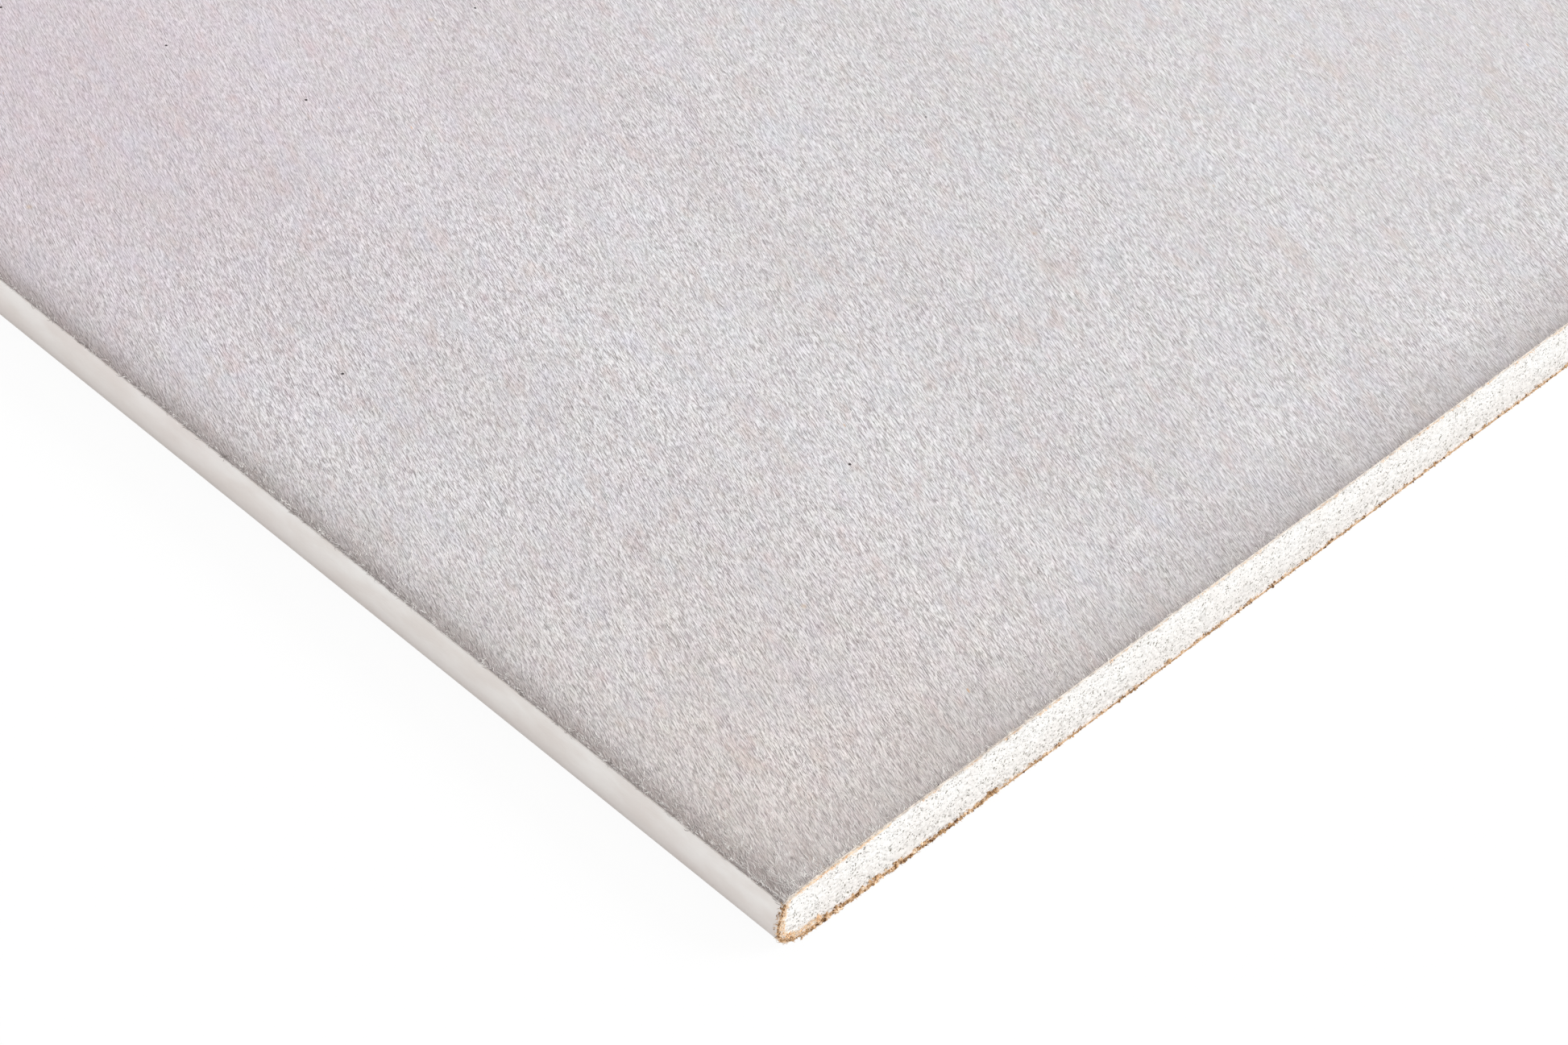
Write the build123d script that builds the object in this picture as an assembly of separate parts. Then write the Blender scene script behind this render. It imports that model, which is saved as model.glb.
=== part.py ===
"""A full drywall sheet, lying face down: a gypsum core in a paper face liner and a paper back liner.

Millimetres. X runs along the sheet's length, Y across its width and +Z up, out of the back.
The origin is under the middle of the sheet, at the height of its face.
The section is one constant profile, so each piece is drawn in the plane across the sheet and
extruded along X. The face liner folds up round both long edges and laps onto the back, and the
back liner lies over the two laps and ends at the arris. Both ends are cut square and show the core.
"""

import os

from build123d import *

# Sheet
board_length = 2400.0
board_width = 1200.0
board_thickness = 12.5

# Liners
face_liner_thickness = 0.5
back_liner_thickness = 0.5
lap_width = 22.0  # from the sheet's side to the end of the face liner's lap

# Long edges: a joint taper on the face, then a round nose up to the arris
taper_width = 50.0
taper_depth = 0.9
nose_radius = 6.0
nose_flat = 0.8  # upright stretch between the nose's round and its lean
nose_lean = 0.6  # how far the arris stands back from the widest point
shoulder_width = 5.0  # where the back rolls down to the arris
shoulder_drop = 0.9

# Heights and half widths that the profile is drawn from
half_width = board_width / 2
lean_start_height = taper_depth + nose_radius + nose_flat
arris_height = board_thickness - shoulder_drop
shoulder_end = half_width - nose_lean - shoulder_width
shoulder_radius = (shoulder_width**2 + shoulder_drop**2) / (2 * shoulder_drop)
lean_rise = arris_height - lean_start_height
lean_radius = (lean_rise**2 + nose_lean**2) / (2 * nose_lean)
clear_of_sheet = board_thickness


def both_sides(right_hand_edges):
    """The edges on the right of the section and their mirror images on the left."""
    return [*right_hand_edges, *(edge.mirror(Plane.YZ) for edge in right_hand_edges)]


def slab_between_noses():
    """The section up to its noses, with its sides carried on above the back."""
    nose = FilletPolyline(
        (half_width - taper_width, 0),
        (half_width, taper_depth),
        (half_width, lean_start_height),
        radius=nose_radius,
    )
    lean_centre = (half_width - lean_radius, lean_start_height)
    lean = CenterArc(lean_centre, lean_radius, 0, 45)
    top_of_side = lean @ 1
    face = Line((taper_width - half_width, 0), (half_width - taper_width, 0))
    top = Line((-top_of_side.X, top_of_side.Y), top_of_side)
    return make_face([face, top, *both_sides([*nose.edges(), lean])])


def room_under_back(depth):
    """Everything lower than the surface that lies this deep under the back and its shoulders."""
    shoulder_centre = (shoulder_end, board_thickness - shoulder_radius)
    shoulder = CenterArc(shoulder_centre, shoulder_radius - depth, 0, 90)
    side_foot = (shoulder @ 0).X, -clear_of_sheet
    side = Line(side_foot, shoulder @ 0)
    level = board_thickness - depth
    back = Line((-shoulder_end, level), (shoulder_end, level))
    floor = Line((-side_foot[0], side_foot[1]), side_foot)
    return make_face([back, floor, *both_sides([side, shoulder])])


def liner_and_core_sections():
    """The three faces that share the section: face liner, back liner and core."""
    slab = slab_between_noses()
    wrapped = slab & room_under_back(back_liner_thickness)
    back_liner = slab & room_under_back(0) - room_under_back(back_liner_thickness)
    inside_wrap = offset(wrapped, -face_liner_thickness)
    between_laps = Rectangle(
        board_width - 2 * lap_width, board_thickness / 2, align=(Align.CENTER, Align.MIN)
    )
    between_laps = Pos(0, board_thickness / 2) * between_laps
    core = inside_wrap + (wrapped & between_laps)
    return {
        "face_liner": wrapped - core,
        "back_liner": back_liner,
        "gypsum_core": core,
    }


def sheet_pieces():
    """Each section drawn across the sheet and extruded from one cut end to the other."""
    cut_end = Plane.YZ.offset(-board_length / 2)
    return {
        name: extrude(cut_end * section, board_length)
        for name, section in liner_and_core_sections().items()
    }


os.makedirs("parts", exist_ok=True)
for name, piece in sheet_pieces().items():
    export_step(piece, f"parts/{name}.step")
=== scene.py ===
"""The looks of a drywall sheet that lies on its face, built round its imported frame.

Metres. +X runs along the sheet's length, +Y across its width and +Z up, out of its grey back.
The corner nearest the camera is the one at +X and -Y. Its cut end is the sheet's +X end, where
the white core shows between the two papers, and its long edge is wrapped in the ivory face paper.
"""

import math

import bmesh
import bpy
import numpy as np
from mathutils import Matrix, Vector, noise


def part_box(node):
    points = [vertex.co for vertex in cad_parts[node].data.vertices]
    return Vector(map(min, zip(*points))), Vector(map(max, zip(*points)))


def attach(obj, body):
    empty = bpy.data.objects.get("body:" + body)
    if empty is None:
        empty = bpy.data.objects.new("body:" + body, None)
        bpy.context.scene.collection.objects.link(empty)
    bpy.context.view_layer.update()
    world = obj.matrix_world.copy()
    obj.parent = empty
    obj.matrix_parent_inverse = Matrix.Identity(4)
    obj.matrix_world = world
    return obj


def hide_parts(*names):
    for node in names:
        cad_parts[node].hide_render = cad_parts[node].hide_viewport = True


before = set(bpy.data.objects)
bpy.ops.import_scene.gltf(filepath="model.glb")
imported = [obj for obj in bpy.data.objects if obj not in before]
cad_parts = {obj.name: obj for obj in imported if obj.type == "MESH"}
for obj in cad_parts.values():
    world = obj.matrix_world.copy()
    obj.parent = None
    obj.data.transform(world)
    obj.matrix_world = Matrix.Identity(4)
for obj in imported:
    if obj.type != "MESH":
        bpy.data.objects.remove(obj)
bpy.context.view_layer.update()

MM = 0.001
rng = np.random.default_rng(12)

# The sheet, from its frame
_, face_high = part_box("face_liner")
_, back_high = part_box("back_liner")
half_length = face_high.x
half_width = face_high.y
thickness = back_high.z
arris_y = back_high.y  # half the width between the two arrises
wrap_top = face_high.z  # where the face paper's laps lie under the back paper

# The section's own sizes, as the sheet is made
paper = 0.5 * MM
lap_width = 22 * MM
taper_width = 50 * MM
taper_depth = 0.9 * MM
nose_radius = 6 * MM
nose_flat = 0.8 * MM  # upright stretch above the nose's round
shoulder_width = 5 * MM
shoulder_drop = 0.9 * MM
core_nose_radius = nose_radius - paper
nose_centre_y = half_width - nose_radius
nose_centre_z = taper_depth + nose_radius
lean_start = taper_depth + nose_radius + nose_flat
arris_z = thickness - shoulder_drop
shoulder_y = arris_y - shoulder_width
shoulder_radius = (shoulder_width**2 + shoulder_drop**2) / (2 * shoulder_drop)
shoulder_reach = shoulder_radius * math.tan(math.asin(shoulder_width / shoulder_radius) / 2)

# How the section's bends are drawn
bend_segments = 12
bend_share = 0.98  # of a bend's full reach, so that it ends just short of the next corner
support = 0.5 * MM  # from a bend's end to one more corner, which keeps the flat beyond it flat

# The cut ends of the core
cut_inset = 0.15 * MM  # from the papers' ends to the core's own rough face
cut_wall = 4 * MM  # how far a cut face's sides reach into the sheet
wall_overlap = 0.1 * MM  # how far they reach over the slab between them

# Fibres
strand_lean = -22  # degrees from the sheet's length to the grey paper's fibres, seen from above
fibre_sides = 3
whole_turn = 6.28  # radians


# Shapes

def piece_from(bm, name, finishes, nodes=(), smooth_under=40):
    """The mesh as a finished piece that rides with the sheet and stands for the given nodes."""
    mesh = bpy.data.meshes.new(name)
    bm.to_mesh(mesh)
    bm.free()
    return dress(mesh, name, finishes, nodes, smooth_under)


def dress(mesh, name, finishes, nodes=(), smooth_under=40):
    """Gives a mesh its finishes and its place on the sheet."""
    for finish in finishes:
        mesh.materials.append(finish)
    mesh.polygons.foreach_set("use_smooth", [True] * len(mesh.polygons))
    mesh.set_sharp_from_angle(angle=math.radians(smooth_under))
    piece = bpy.data.objects.new(name, mesh)
    bpy.context.scene.collection.objects.link(piece)
    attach(piece, "root")
    if nodes:
        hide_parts(*nodes)
    return piece


def only_verts(geometry):
    """The vertices among the things that an operator made."""
    return [item for item in geometry if isinstance(item, bmesh.types.BMVert)]


def round_corner(bm, vert, reach):
    """Rounds a section at one corner, from this far before it to as far behind it."""
    bmesh.ops.bevel(
        bm, geom=[vert], offset=reach, offset_type="OFFSET", affect="VERTICES",
        segments=bend_segments, profile=0.5, material=-1,
    )


def extruded_wire(bm, corners):
    """A strip as long as the sheet, whose section runs through the corners (y, z, reach of its round)."""
    verts = [bm.verts.new((-half_length, y, z)) for y, z, _ in corners]
    for pair in zip(verts, verts[1:]):
        bm.edges.new(pair)
    for vert, (_, _, reach) in zip(verts, corners):
        if reach:
            round_corner(bm, vert, reach)
    drawn = bmesh.ops.extrude_edge_only(bm, edges=bm.edges[:])["geom"]
    bmesh.ops.translate(bm, verts=only_verts(drawn), vec=(2 * half_length, 0, 0))


def thicken(bm, depth):
    """Points a strip's faces out of the sheet, and gives it this depth of paper under them."""
    bmesh.ops.recalc_face_normals(bm, faces=bm.faces[:])
    middle = Vector((0, 0, thickness / 2))
    outward = sum((f.calc_center_median() - middle).dot(f.normal) * f.calc_area() for f in bm.faces)
    if outward < 0:
        bmesh.ops.reverse_faces(bm, faces=bm.faces[:])
    bmesh.ops.solidify(bm, geom=bm.faces[:], thickness=depth)
    bmesh.ops.recalc_face_normals(bm, faces=bm.faces[:])


def mark_ends(bm, finish_number, lap_finish_number):
    """Gives the faces on the two cut ends the finish of that number, or of the other one in the laps."""
    for face in bm.faces:
        if abs(face.normal.x) > 0.9:
            in_lap = face.calc_center_median().z > arris_z - 2 * paper
            face.material_index = lap_finish_number if in_lap else finish_number


def shade_tears(bm, tint):
    """Gives the piece's torn faces one shade between their torn finish's darkest and lightest."""
    layer = bm.verts.layers.float.new("tint")
    for vert in bm.verts:
        vert[layer] = tint


def mirrored(corners):
    """The corners on one side of the section and the same ones on the other side."""
    return [*corners, *((-y, z, reach) for y, z, reach in reversed(corners))]


def shoulder_height(across):
    """How high the back lies at this distance from the sheet's middle line."""
    past = np.clip(across - shoulder_y, 0, shoulder_width)
    return thickness - shoulder_radius + np.sqrt(shoulder_radius**2 - past**2)


def build_back_paper(finishes):
    """The grey back paper: flat, and rolled down over both shoulders to the arrises."""
    side = [
        (arris_y, arris_z, 0),
        (shoulder_y + shoulder_reach, thickness, bend_share * shoulder_reach),
        (shoulder_y - support, thickness, 0),
    ]
    bm = bmesh.new()
    extruded_wire(bm, mirrored(side))
    thicken(bm, paper)
    mark_ends(bm, 1, 1)
    shade_tears(bm, 0.7)
    return piece_from(bm, "back_paper", finishes, ["back_liner"])


def build_face_paper(finishes):
    """The ivory face paper: under the whole sheet, round both noses and lapped onto the back."""
    lean_round = 1.5 * MM
    past_nose = nose_radius + support
    side = [
        (half_width - lap_width, wrap_top, 0),
        (shoulder_y + shoulder_reach, wrap_top, bend_share * shoulder_reach),
        (arris_y, arris_z - paper, 0),
        (half_width, lean_start, lean_round),
        (half_width, taper_depth, bend_share * nose_radius),
        (half_width - past_nose, taper_depth * (1 - past_nose / taper_width), 0),
        (half_width - taper_width, 0, 0),
        (half_width - taper_width - support, 0, 0),
    ]
    bm = bmesh.new()
    extruded_wire(bm, mirrored(side))
    thicken(bm, paper)
    mark_ends(bm, 1, 2)
    shade_tears(bm, 0.6)
    return piece_from(bm, "face_paper", finishes, ["face_liner"])


def core_top(across):
    """The core's upper line at this distance from the middle line."""
    under = np.where(across > half_width - lap_width, 2 * paper, paper)
    lean = lean_start + (half_width - paper - across) / (half_width - arris_y) * (arris_z - lean_start)
    return np.minimum(shoulder_height(across) - under, lean)


def core_bottom(across):
    """The core's lower line at this distance from the middle line."""
    taper = np.clip((across - (half_width - taper_width)) / taper_width, 0, 1) * taper_depth
    past = np.clip(across - nose_centre_y, 0, core_nose_radius)
    nose = nose_centre_z - np.sqrt(core_nose_radius**2 - past**2)
    return np.where(across > nose_centre_y, nose, taper + paper)


def columns(start, end, pitch):
    """Places across the sheet between two distances from the near long edge, closer round each nose."""
    nose_columns = 26
    room = 0.3 * pitch  # least width of a stretch's first and last column
    nose = nose_centre_y + core_nose_radius * np.sin(np.linspace(math.pi / 2, 0, nose_columns))
    flat = np.linspace(-nose_centre_y, nose_centre_y, round(2 * nose_centre_y / pitch))
    across = np.concatenate([-nose, flat[1:-1], nose[::-1]])
    low, high = start - half_width, end - half_width
    inside = across[(across > low + room) & (across < high - room)]
    ends = np.clip([low, high], across[0], across[-1])
    return np.concatenate([ends[:1], inside, ends[1:]])


def air_bubbles(per_mm2):
    """The core's pores on one cut end: their places (y, z), radii and depths, in order along the cut.

    They are larger in the lower part of the sheet.
    """
    usual_radius, spread, largest_radius = 0.12, 0.4, 0.5
    count = int(2 * half_width / MM * thickness / MM * per_mm2)
    y = np.sort(rng.uniform(-half_width, half_width, count))
    z = rng.uniform(0, thickness, count)
    low_down = np.clip(1 - z / (0.45 * thickness), 0, 1)
    radius = rng.lognormal(math.log(usual_radius), spread, count) * (1 + 0.7 * low_down)
    return y, z, np.minimum(radius, largest_radius) * MM, rng.uniform(0.5, 1.0, count)


def build_cut_face(name, finish, side, across, rows, bubbles):
    """A stretch of the core's rough cut end: a grid between the core's lines, with the pores sunk in."""
    pore_depth, ripple_depth, grain_depth = 0.4 * MM, 0.08 * MM, 0.02 * MM
    ripples_per_metre = 900
    bm = bmesh.new()
    bmesh.ops.create_grid(bm, x_segments=len(across) - 1, y_segments=rows - 1, size=1)
    places = np.array([vert.co for vert in bm.verts])
    column = np.rint((places[:, 0] + 1) / 2 * (len(across) - 1)).astype(int)
    row = np.rint((places[:, 1] + 1) / 2 * (rows - 1)).astype(int)

    y = np.repeat(across[:, None], rows, axis=1)
    low, high = core_bottom(np.abs(y)), core_top(np.abs(y))
    share = np.linspace(0, 1, rows)[None, :]
    z = low + (high - low) * share
    depth = np.zeros_like(y)
    for cy, cz, radius, deep in zip(*bubbles):
        first, last = np.searchsorted(across, (cy - radius, cy + radius))
        if first < last:
            off = ((y[first:last] - cy) ** 2 + (z[first:last] - cz) ** 2) / radius**2
            sunk = deep * np.sqrt(np.clip(1 - off, 0, 1))
            depth[first:last] = np.maximum(depth[first:last], sunk)
    ripple = [noise.noise(Vector((side, u, v)) * ripples_per_metre) for u, v in zip(y.flat, z.flat)]
    ripple = np.reshape(ripple, y.shape)
    grain = rng.normal(0, grain_depth, y.shape)
    x = half_length - cut_inset - pore_depth * depth + ripple_depth * ripple + grain
    x[:, 0] = x[:, -1] = half_length - cut_inset

    # how deep each pore sinks here, which the core's material darkens as painted shade
    pore_shade = bm.verts.layers.float.new("pore_shade")
    for vert, c, r in zip(bm.verts, column, row):
        vert.co = (side * x[c, r], y[c, r], z[c, r])
        vert[pore_shade] = depth[c, r]
    rim = [edge for edge in bm.edges if edge.is_boundary]
    drawn = bmesh.ops.extrude_edge_only(bm, edges=rim)["geom"]
    for vert in only_verts(drawn):
        vert.co.x = side * (half_length - cut_wall)
        vert[pore_shade] = 0
    bmesh.ops.holes_fill(bm, edges=[edge for edge in bm.edges if edge.is_boundary], sides=0)
    bmesh.ops.recalc_face_normals(bm, faces=bm.faces[:])
    return piece_from(bm, name, [finish], ["gypsum_core"], 80)


def build_core_slab(finish):
    """The core between its two cut faces, hidden by the papers."""
    end = half_length - cut_wall + wall_overlap
    side = [
        (half_width - lap_width, thickness - paper, 0),
        (half_width - lap_width, thickness - 2 * paper, 0),
        (shoulder_y, thickness - 2 * paper, 0),
        (arris_y - paper, arris_z - 2 * paper, 0),
        (half_width - paper, lean_start, 0),
        (half_width - paper, taper_depth + paper, bend_share * core_nose_radius),
        (half_width - taper_width, paper, 0),
    ]
    corners = mirrored(side)
    bm = bmesh.new()
    outline = [bm.verts.new((-end, y, z)) for y, z, _ in corners]
    bm.faces.new(outline)
    for vert, (_, _, reach) in zip(outline, corners):
        if reach:
            round_corner(bm, vert, reach)
    drawn = bmesh.ops.extrude_face_region(bm, geom=bm.faces[:])["geom"]
    bmesh.ops.translate(bm, verts=only_verts(drawn), vec=(2 * end, 0, 0))
    bmesh.ops.recalc_face_normals(bm, faces=bm.faces[:])
    return piece_from(bm, "core_slab", [finish], ["gypsum_core"])


# Scattered things: fibres, crumbs and hairs

def fibre_shape(name, bends, stretches):
    """A closed fibre one unit long and thick, along X in a few stretches, tapered at its ends and bent."""
    tip = 0.2
    bm = bmesh.new()
    bmesh.ops.create_cone(bm, cap_ends=True, segments=fibre_sides, radius1=0.5, radius2=0.5, depth=1)
    long_edges = [e for e in bm.edges if abs(e.verts[0].co.z - e.verts[1].co.z) > 0.5]
    bmesh.ops.subdivide_edges(bm, edges=long_edges, cuts=stretches - 1)
    bmesh.ops.rotate(bm, verts=bm.verts[:], cent=(0, 0, 0), matrix=Matrix.Rotation(math.pi / 2, 3, "Y"))
    for vert in bm.verts:
        along = vert.co.x
        taper = 1 - (1 - tip) * (2 * abs(along)) ** 3
        vert.co.y *= taper
        vert.co.z *= taper
        vert.co.y += bends[0] * (4 * along**2 - 0.5) + bends[1] * math.sin(2 * math.pi * along)
        vert.co.z += bends[2] * math.cos(math.pi * along)
    return kept_shape(bm, name)


def bent_fibres(count, bends, stretches):
    """Fibres to copy, each bent at random up to these bends."""
    return [
        fibre_shape(f"fibre_{number}", rng.uniform(-1, 1, 3) * bends, stretches)
        for number in range(count)
    ]


def crumb_shape(number):
    """A torn, lumpy crumb about one unit across, another one for each number."""
    lumps, lumpiness, flatness = 3.1, 0.55, 0.8
    bm = bmesh.new()
    bmesh.ops.create_icosphere(bm, subdivisions=1, radius=0.5)
    for vert in bm.verts:
        vert.co *= 1 + lumpiness * noise.noise(vert.co * lumps + Vector((number * 7.3, 0, 0)))
        vert.co.z *= flatness
    return kept_shape(bm, f"crumb_{number}")


def kept_shape(bm, name):
    """A shape to copy, kept out of the scene."""
    bmesh.ops.recalc_face_normals(bm, faces=bm.faces[:])
    mesh = bpy.data.meshes.new(name)
    bm.to_mesh(mesh)
    bm.free()
    return bpy.data.objects.new(name, mesh)


def add_node(tree, kind, inputs=None, **settings):
    """A new node with its settings, and with each given input set to a value or wired to a socket."""
    node = tree.nodes.new(kind)
    for key, value in settings.items():
        setattr(node, key, value)
    for key, value in (inputs or {}).items():
        if isinstance(value, bpy.types.NodeSocket):
            tree.links.new(value, node.inputs[key])
        else:
            node.inputs[key].default_value = value
    return node


def copying_tree(shapes):
    """Geometry nodes that put one of the shapes at each point, by the point's own turn, size and kind."""
    tree = bpy.data.node_groups.new("copies", "GeometryNodeTree")
    tree.interface.new_socket("Points", in_out="INPUT", socket_type="NodeSocketGeometry")
    tree.interface.new_socket("Copies", in_out="OUTPUT", socket_type="NodeSocketGeometry")

    def named(name, data_type):
        made = add_node(tree, "GeometryNodeInputNamedAttribute", {"Name": name}, data_type=data_type)
        return made.outputs["Attribute"]

    points = add_node(tree, "NodeGroupInput").outputs[0]
    choice = add_node(
        tree, "GeometryNodeCollectionInfo",
        {"Collection": shapes, "Separate Children": True, "Reset Children": True},
    )
    turn = add_node(tree, "FunctionNodeEulerToRotation", {"Euler": named("turn", "FLOAT_VECTOR")})
    put = add_node(tree, "GeometryNodeInstanceOnPoints", {
        "Points": points,
        "Instance": choice.outputs[0],
        "Pick Instance": True,
        "Instance Index": named("kind", "INT"),
        "Rotation": turn.outputs[0],
        "Scale": named("size", "FLOAT_VECTOR"),
    })
    real = add_node(tree, "GeometryNodeRealizeInstances", {"Geometry": put.outputs[0]})
    add_node(tree, "NodeGroupOutput", {0: real.outputs[0]})
    return tree


def scatter(name, shapes, places, turns, sizes, tints, finish):
    """One piece made of a copy of a shape at each place, each with its own tint, 0 dark and 1 light.

    What would reach below the sheet's face is pressed flat against it.
    """
    kinds = bpy.data.collections.new(name + "_kinds")
    for shape in shapes:
        kinds.objects.link(shape)
    points = bpy.data.meshes.new(name)
    points.vertices.add(len(places))
    points.vertices.foreach_set("co", np.asarray(places, np.float32).ravel())
    choices = rng.integers(0, len(shapes), len(places))
    for key, kind, values in (
        ("turn", "FLOAT_VECTOR", turns),
        ("size", "FLOAT_VECTOR", sizes),
        ("tint", "FLOAT", tints),
        ("kind", "INT", choices),
    ):
        layer = points.attributes.new(key, kind, "POINT")
        layer.data.foreach_set("vector" if kind == "FLOAT_VECTOR" else "value", np.asarray(values).ravel())
    holder = bpy.data.objects.new(name + "_points", points)
    bpy.context.scene.collection.objects.link(holder)
    copies = holder.modifiers.new("copies", "NODES")
    copies.node_group = copying_tree(kinds)
    bpy.context.view_layer.update()
    ready = holder.evaluated_get(bpy.context.evaluated_depsgraph_get())
    mesh = bpy.data.meshes.new_from_object(ready)
    bpy.data.objects.remove(holder)
    for shape in shapes:
        bpy.data.objects.remove(shape)
    bpy.data.collections.remove(kinds)
    mesh.materials.clear()
    mesh.name = name
    for vert in mesh.vertices:
        vert.co.z = max(vert.co.z, 0)
    return dress(mesh, name, [finish])


def scatter_fibres(name, fibres, places, turns, length, thick, tints, finish):
    """The same for round fibres, each with its own length and thickness."""
    scatter(name, fibres, places, turns, np.column_stack([length, thick, thick]), tints, finish)


def fibre_sizes(count, lengths, thicknesses):
    """A length and a thickness for each fibre, between the two bounds of each in millimetres."""
    return rng.uniform(*lengths, count) * MM, rng.uniform(*thicknesses, count) * MM


def tumbled(count, tilt, heading, spread):
    """Turns for fibres that are rolled anyhow, nearly level, and headed one way with some spread."""
    roll = rng.uniform(0, whole_turn, count)
    return np.column_stack([roll, rng.normal(0, tilt, count), rng.normal(heading, spread, count)])


def cut_edge_line():
    """Corners (y, z) of the face paper's cut edge, from the near arris to the far one."""
    lean = np.linspace(0, 1, 8)
    side_y = half_width - (1 - lean) * (half_width - arris_y)
    side_z = arris_z + lean * (lean_start - arris_z)
    turn = np.linspace(0, math.pi / 2, 16)
    nose_y = nose_centre_y + nose_radius * np.cos(turn)
    nose_z = nose_centre_z - nose_radius * np.sin(turn)
    near_y = -np.concatenate([side_y, nose_y, [half_width - taper_width]])
    near_z = np.concatenate([side_z, nose_z, [0]])
    return np.concatenate([near_y, -near_y[::-1]]), np.concatenate([near_z, near_z[::-1]])


def along_cut_edge(distances):
    """The places at these distances along the face paper's cut edge, and the edge's turn there."""
    step = 0.2 * MM
    line_y, line_z = cut_edge_line()
    run = np.concatenate([[0], np.cumsum(np.hypot(np.diff(line_y), np.diff(line_z)))])
    y, z = np.interp(distances, run, line_y), np.interp(distances, run, line_z)
    ahead = np.minimum(distances + step, run[-1])
    turn = np.arctan2(np.interp(ahead, run, line_z) - z, np.interp(ahead, run, line_y) - y)
    return y, z, turn


def shoulder_slope(across):
    """How steeply the back falls at this distance from the sheet's middle line."""
    return np.arctan2(np.clip(across - shoulder_y, 0, None), shoulder_radius)


# Finishes

def tone(red, green, blue):
    """A colour as it looks on a screen, each part out of 255, as a material wants it."""
    parts = [part / 255 for part in (red, green, blue)]
    parts = [part / 12.92 if part < 0.04045 else ((part + 0.055) / 1.055) ** 2.4 for part in parts]
    return (*parts, 1)


class Finish:
    """A material in the making. Its patterns are measured in millimetres of the sheet."""

    def __init__(self, name):
        self.material = bpy.data.materials.new(name)
        self.material.use_nodes = True
        self.tree = self.material.node_tree
        self.tree.nodes.clear()
        coords = self.add("ShaderNodeTexCoord").outputs["Object"]
        scaled = self.add("ShaderNodeVectorMath", {0: coords, "Scale": 1 / MM}, operation="SCALE")
        self.place = scaled.outputs[0]

    def add(self, kind, inputs=None, **settings):
        return add_node(self.tree, kind, inputs, **settings)

    def grained(self, length, width, angle, shift=0):
        """The place, stretched so that a pattern's grains have this length and width.

        The angle is the one between the grains and the sheet's length, seen from above.
        """
        return self.add("ShaderNodeMapping", {
            "Vector": self.place,
            "Location": (shift, shift, shift),
            "Rotation": (0, 0, math.radians(angle)),
            "Scale": (length, width, width),
        }, vector_type="TEXTURE").outputs[0]

    def grained_on_cut(self, length, width, angle, shift=0):
        """The same for the cut ends, where the angle is the grains' own to the sheet's width."""
        return self.add("ShaderNodeMapping", {
            "Vector": self.place,
            "Location": (shift, shift, shift),
            "Rotation": (math.radians(angle), 0, 0),
            "Scale": (width, length, width),
        }, vector_type="TEXTURE").outputs[0]

    def noise(self, place, scale=1.0, detail=2.0, roughness=0.5):
        return self.add("ShaderNodeTexNoise", {
            "Vector": place, "Scale": scale, "Detail": detail, "Roughness": roughness,
        }).outputs[0]

    def hues(self, place):
        """A noise whose red, green and blue differ from each other."""
        return self.add("ShaderNodeTexNoise", {
            "Vector": place, "Scale": 1.0, "Detail": 5.0, "Roughness": 0.7,
        }).outputs["Color"]

    def spots(self, scale, place=None):
        """Distance to the nearest of many scattered points."""
        return self.add("ShaderNodeTexVoronoi", {
            "Vector": place or self.place, "Scale": scale,
        }).outputs["Distance"]

    def total(self, *shares):
        """The sum of values, each times its own weight."""
        whole = 0.0
        for value, weight in shares:
            whole = self.calc("ADD", self.calc("MULTIPLY", value, weight), whole)
        return whole

    def part(self, axis):
        return self.add("ShaderNodeSeparateXYZ", {0: self.place}).outputs[axis]

    def between(self, value, low, high, to_low=0.0, to_high=1.0):
        """The value run from low..high to another span, and held at its ends."""
        return self.add("ShaderNodeMapRange", {
            "Value": value, "From Min": low, "From Max": high, "To Min": to_low, "To Max": to_high,
        }, interpolation_type="SMOOTHSTEP").outputs[0]

    def calc(self, operation, first, second=0.0):
        return self.add("ShaderNodeMath", {0: first, 1: second}, operation=operation).outputs[0]

    def mix(self, amount, first, second, blend="MIX"):
        return self.add("ShaderNodeMix", {0: amount, 6: first, 7: second},
                        data_type="RGBA", blend_type=blend).outputs[2]

    def near_edge(self, axis, half, reach):
        """1 at the edge that lies this half size from the middle, and 0 further in than the reach."""
        across = self.calc("ABSOLUTE", self.part(axis))
        return self.between(across, half / MM - reach, half / MM)

    def done(self, colour, roughness, height=None, relief=0.1, specular=0.3):
        """Closes the material: matt, with its height pattern as relief in millimetres."""
        shader = self.add("ShaderNodeBsdfPrincipled", {
            "Base Color": colour, "Roughness": roughness, "Specular IOR Level": specular,
        })
        if height is not None:
            bump = self.add("ShaderNodeBump", {"Height": height, "Distance": relief * MM, "Strength": 1.0})
            self.tree.links.new(bump.outputs[0], shader.inputs["Normal"])
        self.add("ShaderNodeOutputMaterial", {"Surface": shader.outputs[0]})
        return self.material


def from_cut_and_side(felt_paper):
    """Distances in millimetres from the cut end and from the long edge that meet at the near corner."""
    from_cut = felt_paper.calc("SUBTRACT", half_length / MM, felt_paper.part(0))
    return from_cut, felt_paper.calc("ADD", felt_paper.part(1), half_width / MM)


def raised_nap(felt_paper):
    """1 where the paper's nap stands up most, by the near corner and its cut end, and 0 elsewhere."""
    from_cut, from_side = from_cut_and_side(felt_paper)
    by_corner = felt_paper.calc(
        "MULTIPLY", felt_paper.between(from_cut, 240, 70), felt_paper.between(from_side, 300, 100),
    )
    return felt_paper.calc("MAXIMUM", by_corner, felt_paper.between(from_cut, 80, 5))


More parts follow.
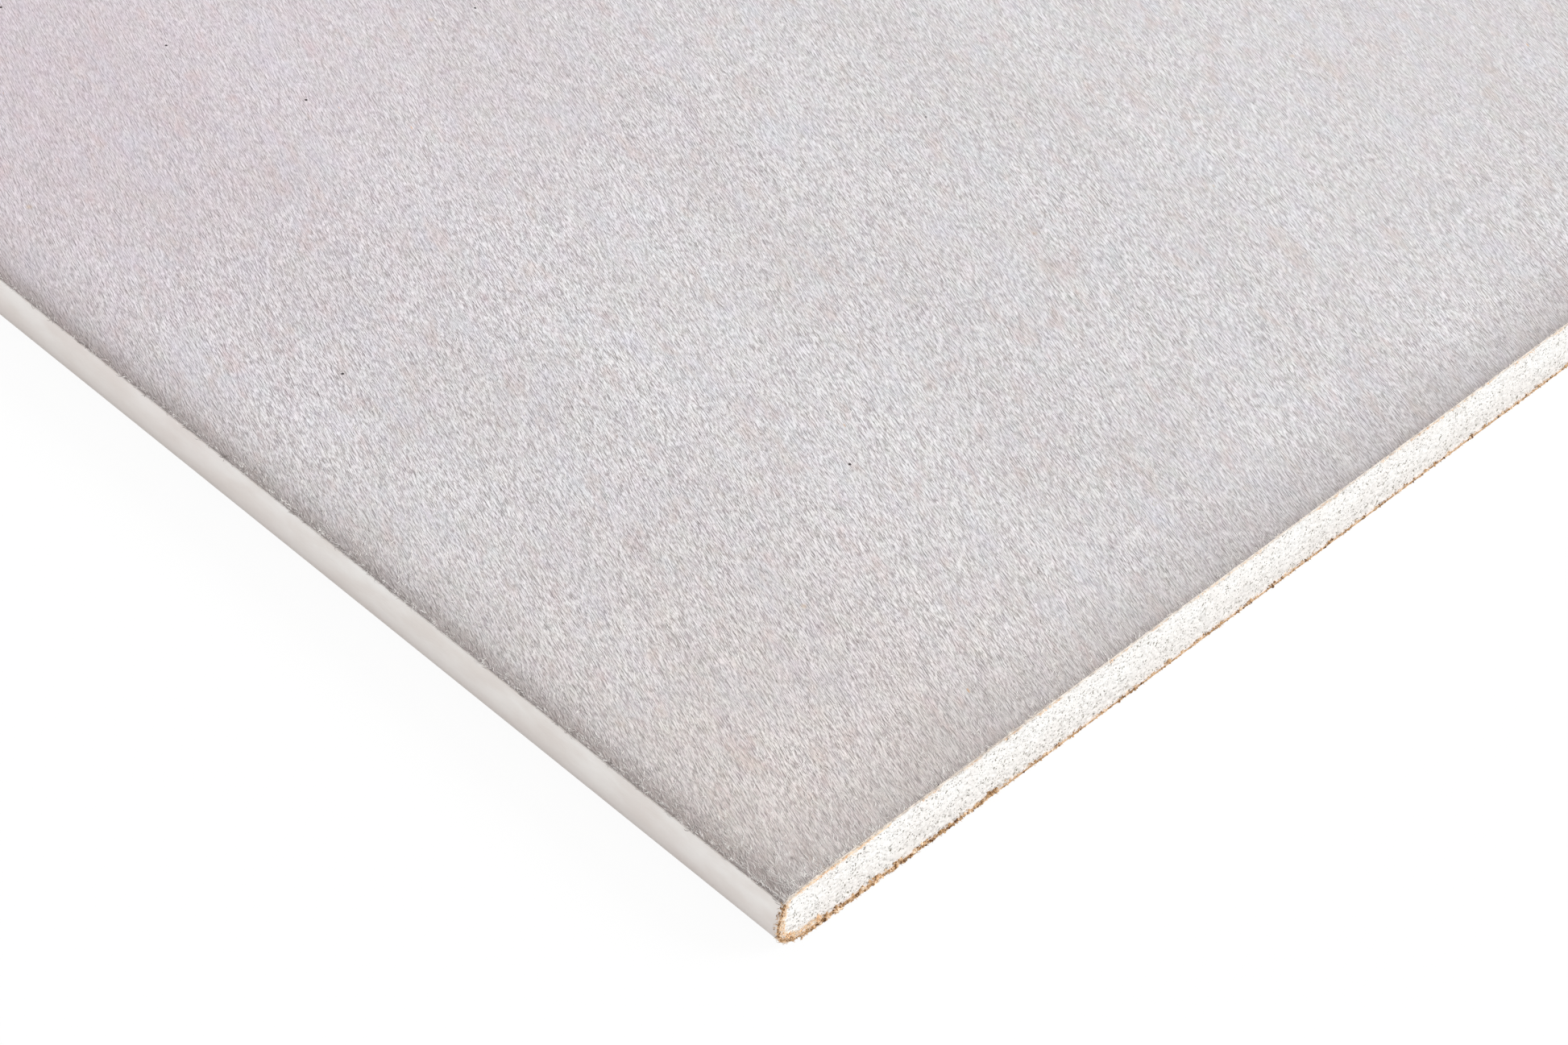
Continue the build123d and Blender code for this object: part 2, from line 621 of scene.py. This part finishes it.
def felted_strokes(felt_paper):
    """The paper's strokes: their height, and their colour between dark gaps and light fibres."""
    raised = raised_nap(felt_paper)
    strokes = []
    for length, width, turn, shift, share in (
        (1.4, 0.185, 0, 0, 0.5), (1.2, 0.175, 8, 57, 0.5), (0.7, 0.17, 36, 31, 0.1),
    ):
        place = felt_paper.grained(length, width, strand_lean + turn, shift)
        strokes.append((felt_paper.noise(place, detail=0), share))
    felt = felt_paper.total(*strokes)
    fine = felt_paper.noise(felt_paper.grained(1.1, 0.16, strand_lean, 83), detail=1, roughness=0.8)
    shade = felt_paper.total((felt, 0.3), (fine, 0.8))
    darkest = felt_paper.between(raised, 0, 1, 0.26, 0.43)
    lightest = felt_paper.between(raised, 0, 1, 0.88, 0.645)
    light = felt_paper.between(shade, darkest, lightest)
    colour = felt_paper.mix(light, tone(181, 174, 176), tone(249, 247, 249))
    return felt_paper.calc("MULTIPLY", felt, felt_paper.between(raised, 0, 1, 1.0, 1.8)), colour


def with_clouds(felt_paper, colour):
    """The colour with streaks, clumps and clouds, some bluish and some rosy, and a trace of mixed hues."""
    lean = strand_lean
    streaks = felt_paper.noise(felt_paper.grained(11, 0.7, lean + 12, 12), detail=3)
    clump = felt_paper.noise(felt_paper.grained(4.2, 2.2, lean), detail=3)
    cloud = felt_paper.noise(felt_paper.grained(30, 20, lean), detail=5, roughness=0.65)
    blue = felt_paper.noise(felt_paper.grained(14, 9, lean, 140), detail=4, roughness=0.65)
    rosy = felt_paper.noise(felt_paper.grained(7, 4, lean, 210), detail=3, roughness=0.6)
    for pattern, low, high, most, shade in (
        (streaks, 0.35, 0.7, 0.14, (240, 236, 238)),
        (clump, 0.35, 0.7, 0.1, (236, 231, 233)),
        (cloud, 0.4, 0.66, 0.2, (214, 205, 203)),
        (blue, 0.45, 0.75, 0.35, (222, 224, 234)),
        (rosy, 0.54, 0.72, 0.4, (218, 200, 196)),
    ):
        colour = felt_paper.mix(felt_paper.between(pattern, low, high, 0, most), colour, tone(*shade))
    return felt_paper.mix(0.08, colour, felt_paper.hues(felt_paper.grained(5, 3, lean, 70)))


def with_drifts_and_painted_shade(felt_paper, colour):
    """Wide drifts and a faint painted shade by the near long edge, which darken or tint the colour and
    leave its strokes.
    """
    from_cut, from_side = from_cut_and_side(felt_paper)
    bands = felt_paper.noise(felt_paper.grained(1400, 45, 0, 9), detail=3)
    near_end, near_side = felt_paper.near_edge(0, half_length, 90), felt_paper.near_edge(1, arris_y, 110)
    pinkish = felt_paper.calc(
        "MULTIPLY", felt_paper.between(from_cut, 80, 200), felt_paper.between(from_cut, 800, 240),
    )
    for amount, shade in (
        (felt_paper.between(bands, 0.35, 0.65), (251, 250, 250)),
        # painted shade: a faint darkening within 200 mm of the near long edge
        (felt_paper.between(from_side, 200, 0), (252, 252, 252)),
        (felt_paper.calc("MULTIPLY", pinkish, felt_paper.between(from_side, 180, 30)), (252, 245, 249)),
        (felt_paper.calc("MULTIPLY", near_end, near_side), (255, 250, 245)),
    ):
        colour = felt_paper.mix(amount, colour, tone(*shade), "MULTIPLY")
    return colour


def with_painted_edge_shade(felt_paper, colour):
    """The colour darkened towards the sheet's edges by painted shade, most of all at the very edge."""
    # painted shade: the rows for axis 1 deepen the shade of the back's roll over the long edges'
    # shoulders, those for axis 0 darken it towards the cut ends
    for axis, half, reach, strength, shade in (
        (0, half_length, 14, 0.4, (176, 167, 164)),
        (0, half_length, 2.2, 0.42, (152, 141, 137)),
        (1, arris_y, 12, 0.34, (172, 162, 160)),
        (1, arris_y, 3.4, 0.55, (146, 134, 129)),
    ):
        amount = felt_paper.calc("MULTIPLY", felt_paper.near_edge(axis, half, reach), strength)
        colour = felt_paper.mix(amount, colour, tone(*shade))
    return colour


def with_specks(felt_paper, colour):
    """The colour with pale brown stains, orange flecks and near-black specks."""
    stain, speck = felt_paper.spots(0.045), felt_paper.spots(0.09)
    fleck = felt_paper.spots(0.06, felt_paper.grained(1.6, 0.5, strand_lean))
    for distance, rim, heart, most, shade in (
        (stain, 0.035, 0.0, 0.55, (214, 186, 158)),
        (fleck, 0.022, 0.012, 0.7, (222, 178, 134)),
        (speck, 0.026, 0.018, 0.95, (50, 45, 46)),
    ):
        colour = felt_paper.mix(felt_paper.between(distance, rim, heart, 0, most), colour, tone(*shade))
    return colour


def grey_back_paper():
    """Coarse recycled paper, felted and clouded, with drifts, painted shade along its edges and specks."""
    felt_paper = Finish("grey_back_paper")
    height, colour = felted_strokes(felt_paper)
    for add_to in (with_clouds, with_drifts_and_painted_shade, with_painted_edge_shade, with_specks):
        colour = add_to(felt_paper, colour)
    return felt_paper.done(colour, 0.92, height, 0.26)


def ivory_face_paper():
    """Smooth, calendered paper: faintly mottled, greyed towards the nose by painted shade, and yellowed
    along the arris.
    """
    smooth_paper = Finish("ivory_face_paper")
    arris_height = arris_z / MM
    mottle = smooth_paper.noise(smooth_paper.grained(9, 4, 0), detail=4)
    haze = smooth_paper.noise(smooth_paper.grained(60, 25, 0, 11), detail=2)
    wear = smooth_paper.noise(smooth_paper.grained(14, 14, 0, 5), detail=3)
    strand = smooth_paper.noise(smooth_paper.grained(0.9, 0.25, 5), detail=1)
    height = smooth_paper.part(2)
    top_line = smooth_paper.between(height, arris_height - 0.5, arris_height - 0.1, 0, 0.6)
    yellowed = smooth_paper.calc("MULTIPLY", smooth_paper.between(wear, 0.5, 0.62), top_line)

    light = smooth_paper.between(mottle, 0.3, 0.7)
    colour = smooth_paper.mix(light, tone(241, 234, 229), tone(254, 251, 248))
    for amount, shade in (
        (smooth_paper.between(haze, 0.45, 0.7, 0, 0.4), (244, 232, 229)),
        # painted shade: greyer towards the bottom, round the nose
        (smooth_paper.between(height, 11.5, 3, 0, 0.8), (220, 211, 206)),
        (yellowed, (216, 198, 160)),
        (smooth_paper.between(smooth_paper.spots(0.12), 0.025, 0.012, 0, 0.5), (120, 108, 98)),
    ):
        colour = smooth_paper.mix(amount, colour, tone(*shade))
    return smooth_paper.done(colour, 0.7, strand, 0.04)


def white_gypsum():
    """Foamed plaster: white, a little greyer low down, with painted shade in its pores and pinholes, and a
    powdery grain.
    """
    plaster = Finish("white_gypsum")
    back_height = thickness / MM
    height = plaster.part(2)
    pore_shade = plaster.add("ShaderNodeAttribute", attribute_name="pore_shade").outputs["Fac"]
    cloud = plaster.noise(plaster.place, 0.12, 3)
    grain = plaster.noise(plaster.place, 3.2, 3, 0.7)
    crowded = plaster.between(plaster.noise(plaster.place, 0.7, 3, 0.7), 0.42, 0.56, 0.15, 1.0)
    # painted shade of pinholes: dark dots where the cut face has no hole
    pinhole_shade = plaster.calc("MULTIPLY", plaster.between(plaster.spots(2.2), 0.36, 0.2), crowded)
    leaning = plaster.grained_on_cut(1.0, 0.42, 68)

    colour = plaster.mix(plaster.between(cloud, 0.35, 0.65), tone(251, 248, 245), tone(254, 253, 251))
    for amount, shade in (
        (plaster.between(height, 9, 1, 0, 0.7), (238, 233, 229)),
        (plaster.between(grain, 0.45, 0.75, 0, 0.3), (214, 208, 198)),
        (plaster.between(height, back_height - 1.0, back_height - 0.5, 0, 0.35), (252, 231, 206)),
        (plaster.between(plaster.spots(0.45, leaning), 0.2, 0.12, 0, 0.8), (140, 136, 124)),
        # painted shade of the pinholes
        (plaster.calc("MULTIPLY", pinhole_shade, 0.9), (108, 102, 88)),
        # painted shade: darker where the pores sink into the cut face
        (plaster.between(pore_shade, 0.25, 0.9, 0, 0.55), (146, 140, 126)),
    ):
        colour = plaster.mix(amount, colour, tone(*shade))
    return plaster.done(colour, 0.95, grain, 0.08, 0.2)


def torn_paper(name, shades):
    """The ragged edge or the loose fibres of a torn paper, between shades by each fibre's own tint."""
    torn = Finish(name)
    tint = torn.add("ShaderNodeAttribute", attribute_name="tint").outputs["Fac"]
    patch = torn.noise(torn.place, 0.8, 4, 0.7)
    value = torn.calc("ADD", tint, torn.between(patch, 0.34, 0.66, -0.32, 0.32))
    ramp = torn.add("ShaderNodeValToRGB", {"Fac": value})
    stops = ramp.color_ramp.elements
    while len(stops) < len(shades):
        stops.new(1.0)
    for number, shade in enumerate(shades):
        stops[number].position = number / (len(shades) - 1)
        stops[number].color = tone(*shade)
    strand = torn.noise(torn.grained(0.5, 0.1, 20), detail=2)
    return torn.done(ramp.outputs[0], 0.95, strand, 0.06, 0.2)


# The sheet's pieces

grey = grey_back_paper()
ivory = ivory_face_paper()
white = white_gypsum()
brown_tear = torn_paper(
    "torn_brown_ply", [(98, 64, 38), (186, 148, 106), (222, 186, 146), (250, 228, 202)],
)
pale_tear = torn_paper(
    "torn_pale_ply", [(196, 188, 182), (232, 222, 212), (246, 236, 226), (252, 246, 238)],
)
orange_tear = torn_paper(
    "torn_orange_ply", [(240, 188, 132), (250, 216, 176), (254, 234, 208), (255, 246, 232)],
)
loose_grey = torn_paper(
    "loose_grey_fibre", [(150, 142, 138), (206, 200, 198), (232, 228, 226), (246, 243, 240)],
)

build_back_paper([grey, pale_tear])
build_face_paper([ivory, brown_tear, orange_tear])
build_core_slab(white)

whole_end = 2 * half_width
corner_stretch, seen_stretch = 90 * MM, 250 * MM  # of the cut end, from the near long edge
near_bubbles = air_bubbles(2.8)
for name, start, end, pitch, rows in (
    ("core_cut_corner", 0, corner_stretch, 0.17 * MM, 68),
    ("core_cut_middle", corner_stretch, seen_stretch, 0.26 * MM, 46),
    ("core_cut_rest", seen_stretch, whole_end, 1.2 * MM, 20),
):
    build_cut_face(name, white, 1, columns(start, end, pitch), rows, near_bubbles)
far_bubbles = air_bubbles(0.5)
build_cut_face("core_cut_far_end", white, -1, columns(0, whole_end, 1.3 * MM), 20, far_bubbles)


# Torn paper and loose fibres

def cut_edge_scraps(side, start, end, per_mm, biggest, deep):
    """Places and sizes of scraps along the face paper's torn edge on one cut end, and their lumpiness.

    start and end are distances along the edge from the near arris, and deep is how far in from the
    paper's surface the scraps reach. Along the near taper they also hang into the gap under it.
    """
    hanging, fade = 55 * MM, 12 * MM
    lumps_per_mm = 0.4
    half_height, half_breadth = 0.42, 0.35  # shares of a scrap's size
    count = int((end - start) / MM * per_mm)
    run = rng.uniform(start, end, count)
    lumpy = [noise.noise(Vector((side * 3.0, 0.0, place / MM * lumps_per_mm))) for place in run]
    lumpy = np.array(lumpy)
    inside = rng.beta(1.6, 2.0, count) * deep * (1 + 0.9 * lumpy)
    y, z, turn = along_cut_edge(run)
    y = y - inside * np.sin(turn)
    z = z + inside * np.cos(turn)
    size = biggest * rng.beta(2.0, 2.8, count) * (1 + 0.8 * lumpy)
    torn = np.clip((hanging - run) / fade, 0, 1) * (np.abs(y) < nose_centre_y)
    z = z * (1 - torn * rng.uniform(0, 1, count))
    z = np.maximum(z, half_height * size)
    y = np.clip(y, half_breadth * size - half_width, half_width - half_breadth * size)
    x = side * (half_length + rng.uniform(-0.45, 0.12, count) * MM)
    return np.column_stack([x, y, z]), size, lumpy


def build_torn_edge(side, stretches):
    """Crumbs and curled fibres of torn brown paper along the face paper's edge on one cut end."""
    end_name = "near" if side > 0 else "far"
    all_places, all_sizes, all_tints = [], [], []
    for start, end, per_mm, biggest, deep, darkest in stretches:
        places, size, lumpy = cut_edge_scraps(side, start, end, per_mm, biggest, deep)
        light = darkest + (1 - darkest) * rng.beta(1.3, 1.2, len(size))
        all_places.append(places)
        all_sizes.append(size)
        all_tints.append(light - 0.3 * np.clip(lumpy, 0, 1))
    places, size, tint = (np.concatenate(parts) for parts in (all_places, all_sizes, all_tints))
    count = len(size)
    crumbs = [crumb_shape(number) for number in range(6)]
    uneven = size[:, None] * rng.uniform(0.55, 1.2, (count, 3))
    turns = rng.uniform(0, whole_turn, (count, 3))
    scatter(f"torn_crumbs_{end_name}", crumbs, places, turns, uneven, tint, brown_tear)

    some = rng.permutation(count)[:count // 2]
    curls = bent_fibres(6, 3, 4)
    length = rng.uniform(0.5, 1.5, len(some)) * MM * (0.5 + size[some] / size.max())
    tilt = rng.normal(0, 0.3, len(some))
    thick = rng.uniform(0.05, 0.11, len(some)) * MM
    roll = rng.uniform(0, whole_turn, len(some))
    turns = np.column_stack([roll, tilt, rng.normal(math.pi / 2, 0.6, len(some))])
    spots = places[some]
    spots[:, 2] = np.maximum(spots[:, 2], 0.5 * length * np.abs(np.sin(tilt)) + 4 * thick)
    tint = rng.beta(2, 1.6, len(some))
    scatter_fibres(
        f"torn_curls_{end_name}", curls, spots, turns, length, thick, tint, brown_tear,
    )


def build_inner_fuzz(count, reach):
    """Peach fibres of the face paper's inner ply, on the core's rim round the near nose."""
    run = rng.uniform(0, reach, count)
    inside = rng.uniform(0.45, 1.5, count) * MM
    y, z, turn = along_cut_edge(run)
    x = half_length + rng.uniform(-0.3, 0.1, count) * MM
    places = np.column_stack([x, y - inside * np.sin(turn), z + inside * np.cos(turn)])
    length, thick = fibre_sizes(count, (0.4, 1.2), (0.06, 0.13))
    turns = tumbled(count, 0.7, math.pi / 2, 0.5)
    places[:, 2] = np.maximum(places[:, 2], 0.5 * length * np.abs(np.sin(turns[:, 1])) + 3 * thick)
    wisps = bent_fibres(6, 2.5, 4)
    tint = rng.beta(1.5, 2, count)
    scatter_fibres("inner_fuzz", wisps, places, turns, length, thick, tint, orange_tear)


def build_nose_tuft(count):
    """A small tuft of pale tissue at the foot of the near nose."""
    proud = 0.1 * MM
    turn = rng.uniform(0.8, 1.35, count)
    x = half_length + rng.uniform(-0.7, 0.1, count) * MM
    y = -(nose_centre_y + nose_radius * np.cos(turn))
    z = nose_centre_z - (nose_radius + proud) * np.sin(turn)
    length, thick = fibre_sizes(count, (0.5, 1.4), (0.06, 0.12))
    roll = rng.uniform(0, whole_turn, count)
    turns = np.column_stack([roll, rng.normal(0, 0.5, count), rng.uniform(0, whole_turn, count)])
    wisps = bent_fibres(5, 3, 5)
    places = np.column_stack([x, y, z])
    tint = rng.beta(2, 1, count)
    scatter_fibres("nose_tuft", wisps, places, turns, length, thick, tint, pale_tear)


def top_tear_places(side, ply, start, end, per_mm, low, high, crowd):
    """Places along the back paper's torn edge, between two depths in millimetres under the back.

    The orange ply shows in broken runs, and near the long edges some of it lies under the laps.
    """
    runs_per_metre = 160
    count = int((end - start) / MM * per_mm * crowd)
    y = rng.uniform(start, end, count) - half_width
    y = np.clip(y, -arris_y + 0.3 * MM, arris_y - 0.3 * MM)
    if ply == "orange":
        shown = np.array([noise.noise(Vector((7.0, v * runs_per_metre, crowd))) for v in y])
        y = y[shown > -0.1]
    count = len(y)
    z = shoulder_height(np.abs(y)) - rng.uniform(low, high, count) * MM
    by_lap = (ply == "orange") & (half_width - np.abs(y) < lap_width)
    z = z - (by_lap & (rng.random(count) < 0.4)) * paper
    x = side * (half_length + rng.uniform(-0.25, 0.1, count) * MM)
    return np.column_stack([x, y, z])


def build_top_tear(side, stretches):
    """Pale fibres along the back paper's torn edge, and an orange line of its lower ply under them."""
    end_name = "near" if side > 0 else "far"
    for ply, finish, low, high, crowd in (
        ("pale", pale_tear, -0.03, 0.4, 1.0),
        ("orange", orange_tear, 0.42, 0.6, 0.7),
    ):
        places, turns, lengths, thicks = [], [], [], []
        for start, end, per_mm in stretches:
            places.append(top_tear_places(side, ply, start, end, per_mm, low, high, crowd))
            turns.append(tumbled(len(places[-1]), 0.24, math.pi / 2, 0.6))
            length, thick = fibre_sizes(len(places[-1]), (0.4, 1.3), (0.05, 0.11))
            lengths.append(length)
            thicks.append(thick)
        wisps = bent_fibres(6, 1.6, 3)
        places, turns = np.concatenate(places), np.concatenate(turns)
        length, thick = np.concatenate(lengths), np.concatenate(thicks)
        tint = rng.beta(1.4, 1.8, len(places))
        scatter_fibres(
            f"torn_{ply}_{end_name}", wisps, places, turns, length, thick, tint, finish,
        )


def build_loose_fibres(name, count, from_cut, from_side, fade):
    """Fibres that stand a little out of the grey paper, most of them lying along its strokes.

    They lie within two distances of the near corner, and the higher the fade, the closer to it.
    """
    x = half_length - from_cut * rng.uniform(0, 1, count) ** fade
    y = from_side * rng.uniform(0, 1, count) ** fade - arris_y
    angle = math.radians(strand_lean) + rng.normal(0, 0.4, count)
    length, thick = fibre_sizes(count, (0.5, 1.5), (0.06, 0.13))
    flat = thick * 0.7
    x = np.minimum(x, half_length - 0.5 * length * np.abs(np.cos(angle)))
    y = np.clip(y, 0.4 * MM - arris_y, arris_y - 0.4 * MM)
    z = shoulder_height(np.abs(y)) + 0.15 * flat
    strands = bent_fibres(8, (1.4, 0.98, 0.42), 3)
    roll = np.sign(y) * shoulder_slope(np.abs(y))
    turns = np.column_stack([roll, rng.normal(0, 0.05, count), angle])
    places, sizes = np.column_stack([x, y, z]), np.column_stack([length, thick, flat])
    scatter(name, strands, places, turns, sizes, rng.beta(3, 1.4, count), loose_grey)


def build_arris_fuzz(name, count, from_cut, sides):
    """Short fibres of the back paper's edge that stick out over the arris, dark and pale."""
    side = rng.choice(sides, count)
    lint = bent_fibres(6, 2, 3)
    x = half_length - from_cut * rng.uniform(0.001, 1, count)
    out = rng.normal(-0.12, 0.2, count).clip(-0.6, 0.3) * MM
    length, thick = fibre_sizes(count, (0.4, 1.3), (0.05, 0.11))
    x = np.minimum(x, half_length - 0.5 * length)
    y = side * (arris_y + out)
    z = np.where(out > 0, arris_z - out, shoulder_height(arris_y + out)) + 0.05 * MM
    turns = tumbled(count, 0.3, 0, 0.6)
    places = np.column_stack([x, y, z])
    tint = rng.beta(0.9, 1.3, count)
    scatter_fibres(name, lint, places, turns, length, thick, tint, loose_grey)


def build_hairs(count):
    """Long loose hairs that cross the near arris close to the photographed corner."""
    spread, thinness = 30 * MM, 0.045 * MM
    x = half_length - spread * rng.uniform(0.02, 1, count) ** 1.6
    y = rng.uniform(0.4, 3.0, count) * MM - arris_y
    z = shoulder_height(np.abs(y)) + 0.04 * MM
    length = rng.uniform(2.0, 5.5, count) * MM
    x = np.minimum(x, half_length - 0.45 * length)
    angle = math.radians(-8) + rng.normal(0, 0.35, count)
    hairs = bent_fibres(6, (9, 7.2, 2.7), 9)
    turns = np.column_stack([shoulder_slope(np.abs(y)), rng.normal(0, 0.03, count), angle])
    places = np.column_stack([x, y, z])
    thick = np.full(count, thinness)
    tint = rng.uniform(0.3, 1, count)
    scatter_fibres("arris_hairs", hairs, places, turns, length, thick, tint, loose_grey)


whole_edge = 1213 * MM  # along the face paper's cut edge, to a little before the far arris
build_torn_edge(1, [
    (0.2 * MM, 14 * MM, 36, 0.45 * MM, 0.5 * MM, -0.3),
    (14 * MM, 55 * MM, 34, 0.85 * MM, 1.0 * MM, 0.0),
    (55 * MM, seen_stretch, 14, 0.6 * MM, 0.7 * MM, -0.1),
    (seen_stretch, whole_edge, 1.6, 0.6 * MM, 0.8 * MM, 0.2),
])
build_torn_edge(-1, [(0.2 * MM, whole_edge, 1.6, 0.6 * MM, 0.8 * MM, 0.2)])
build_inner_fuzz(300, 18 * MM)
build_nose_tuft(20)
build_top_tear(1, [(0, 60 * MM, 22), (60 * MM, seen_stretch, 9), (seen_stretch, whole_end, 0.8)])
build_top_tear(-1, [(0, whole_end, 0.8)])
build_loose_fibres("loose_fibres_corner", 9500, 110 * MM, 110 * MM, 1.5)
build_loose_fibres("loose_fibres_sheet", 5000, 2 * half_length, 2 * arris_y, 1.3)
build_hairs(70)
build_arris_fuzz("arris_fuzz_near", 1300, 230 * MM, [-1])
build_arris_fuzz("arris_fuzz_sheet", 1100, 2 * half_length, [-1, 1])


# Floor, light and camera

def seen_by_camera(tree):
    """1 for the rays that the camera sees, also by way of gloss or glass, and 0 for the light's own."""
    rays = add_node(tree, "ShaderNodeLightPath")
    seen = rays.outputs["Is Camera Ray"]
    for kind in ("Is Glossy Ray", "Is Transmission Ray"):
        either = add_node(tree, "ShaderNodeMath", {0: seen, 1: rays.outputs[kind]}, operation="MAXIMUM")
        seen = either.outputs[0]
    return seen


def lay_floor():
    """A pale floor that shows white to the camera and keeps a faint shadow of the sheet."""
    half_size = 12
    gap = 0.05 * MM
    white_share = 0.94
    bounced, shown = (0.6, 0.6, 0.6, 1), (1, 1, 1, 1)
    bm = bmesh.new()
    bmesh.ops.create_grid(bm, x_segments=1, y_segments=1, size=half_size)
    bmesh.ops.translate(bm, verts=bm.verts[:], vec=(0, 0, -gap))
    mesh = bpy.data.meshes.new("floor")
    bm.to_mesh(mesh)
    bm.free()
    floor = bpy.data.objects.new("floor", mesh)
    bpy.context.scene.collection.objects.link(floor)
    material = bpy.data.materials.new("white_floor")
    material.use_nodes = True
    tree = material.node_tree
    tree.nodes.clear()
    seen = seen_by_camera(tree)
    share = add_node(tree, "ShaderNodeMath", {0: seen, 1: white_share}, operation="MULTIPLY")
    cover = add_node(tree, "ShaderNodeMix", {0: seen, 6: bounced, 7: shown}, data_type="RGBA")
    matt = add_node(tree, "ShaderNodeBsdfDiffuse", {"Color": cover.outputs[2]})
    glow = add_node(tree, "ShaderNodeEmission", {"Color": shown, "Strength": 1.0})
    mixed = add_node(
        tree, "ShaderNodeMixShader", {0: share.outputs[0], 1: matt.outputs[0], 2: glow.outputs[0]},
    )
    add_node(tree, "ShaderNodeOutputMaterial", {"Surface": mixed.outputs[0]})
    mesh.materials.append(material)


def light_room(sky, lamps):
    """An even white sky, white where the camera sees it, and a few wide soft lamps far away.

    A lamp is its name, azimuth, elevation, strength and width, in degrees but for the strength.
    """
    world = bpy.data.worlds.new("white_room")
    bpy.context.scene.world = world
    world.use_nodes = True
    tree = world.node_tree
    tree.nodes.clear()
    seen = seen_by_camera(tree)
    glow = add_node(tree, "ShaderNodeMapRange", {"Value": seen, "To Min": sky, "To Max": 1.0})
    light = add_node(tree, "ShaderNodeBackground", {"Color": (1, 1, 1, 1), "Strength": glow.outputs[0]})
    add_node(tree, "ShaderNodeOutputWorld", {"Surface": light.outputs[0]})
    for name, azimuth, elevation, strength, width in lamps:
        lamp = bpy.data.lights.new(name, "SUN")
        lamp.energy = strength
        lamp.angle = math.radians(width)
        holder = bpy.data.objects.new(name, lamp)
        bpy.context.scene.collection.objects.link(holder)
        holder.rotation_euler = (math.radians(90 - elevation), 0, math.radians(azimuth + 90))


def aim_camera():
    """The photograph's camera, by its turn and by where it sees the sheet's near corner.

    Both, and the lens, were solved from the sheet's edges in the photograph.
    """
    focal_length, film_width = 94.473, 36
    azimuth, elevation, roll = (math.radians(angle) for angle in (36.139, 43.438, 9.989))
    corner_from_camera = Vector((-0.044, -50.481, -544.819)) * MM
    corner = Vector((half_length, -arris_y, arris_z))
    turn = Matrix.Rotation(azimuth, 3, "Z") @ Matrix.Rotation(math.pi / 2 - elevation, 3, "X")
    turn = turn @ Matrix.Rotation(roll, 3, "Z")
    lens = bpy.data.cameras.new("camera")
    lens.sensor_fit = "HORIZONTAL"
    lens.sensor_width = film_width
    lens.lens = focal_length
    lens.clip_start = 0.01
    lens.clip_end = 100
    camera = bpy.data.objects.new("camera", lens)
    bpy.context.scene.collection.objects.link(camera)
    camera.matrix_world = Matrix.Translation(corner - turn @ corner_from_camera) @ turn.to_4x4()
    bpy.context.scene.camera = camera


lay_floor()
light_room(0.52, [
    ("key", 42, 38, 2.12, 30),
    ("fill", -70, 25, 0.95, 60),
])
aim_camera()
bpy.context.scene.view_settings.view_transform = "Standard"

bpy.context.view_layer.update()
